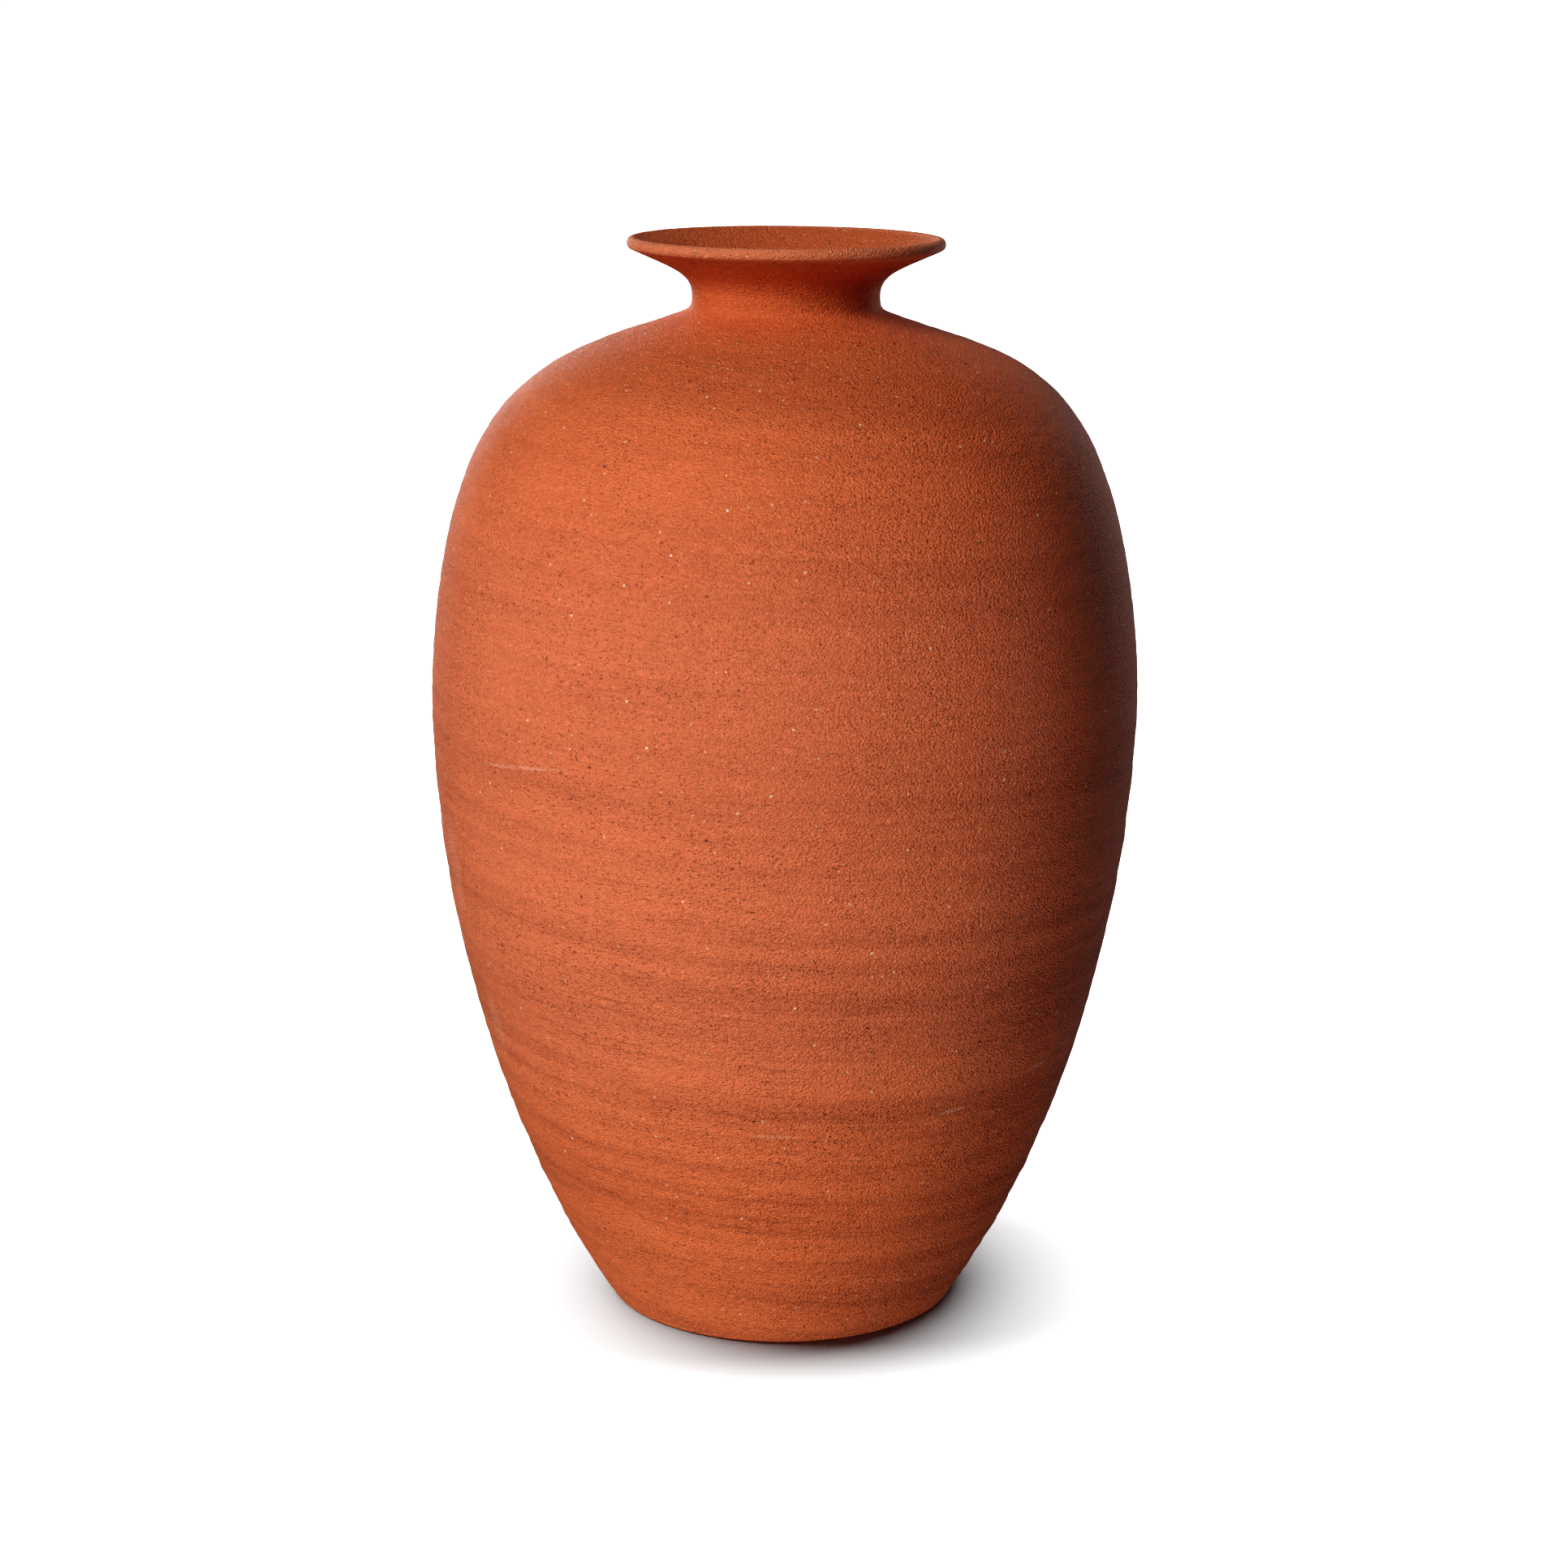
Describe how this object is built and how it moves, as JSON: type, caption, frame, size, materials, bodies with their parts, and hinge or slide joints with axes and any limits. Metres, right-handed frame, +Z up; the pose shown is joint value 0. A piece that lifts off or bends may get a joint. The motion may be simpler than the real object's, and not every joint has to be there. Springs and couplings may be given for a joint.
{
  "type": "vase",
  "caption": "Tall earthenware amphora-shaped vase with a narrow flat foot, full belly, rounded shoulder, short neck and flared mouth",
  "frame": {"origin": "centre of the flat underside of the foot", "axes": "+Z up along the axis of revolution, +X to the right and -Y to the front"},
  "size_m": [0.2614, 0.2614, 0.4],
  "materials": {
    "foot_clay": "unglazed fired earthenware, wire-cut and dry",
    "body_clay": "unglazed fired earthenware with coarse grog and throwing marks",
    "rim_clay": "unglazed fired earthenware, sponged a little smoother"
  },
  "bodies": {
    "root": {"base_slab": "foot_clay", "lower_wall": "body_clay", "belly_wall": "body_clay", "shoulder_wall": "body_clay", "shoulder_cap": "body_clay", "neck_collar": "rim_clay", "mouth_rim": "rim_clay"}
  },
  "joints": []
}
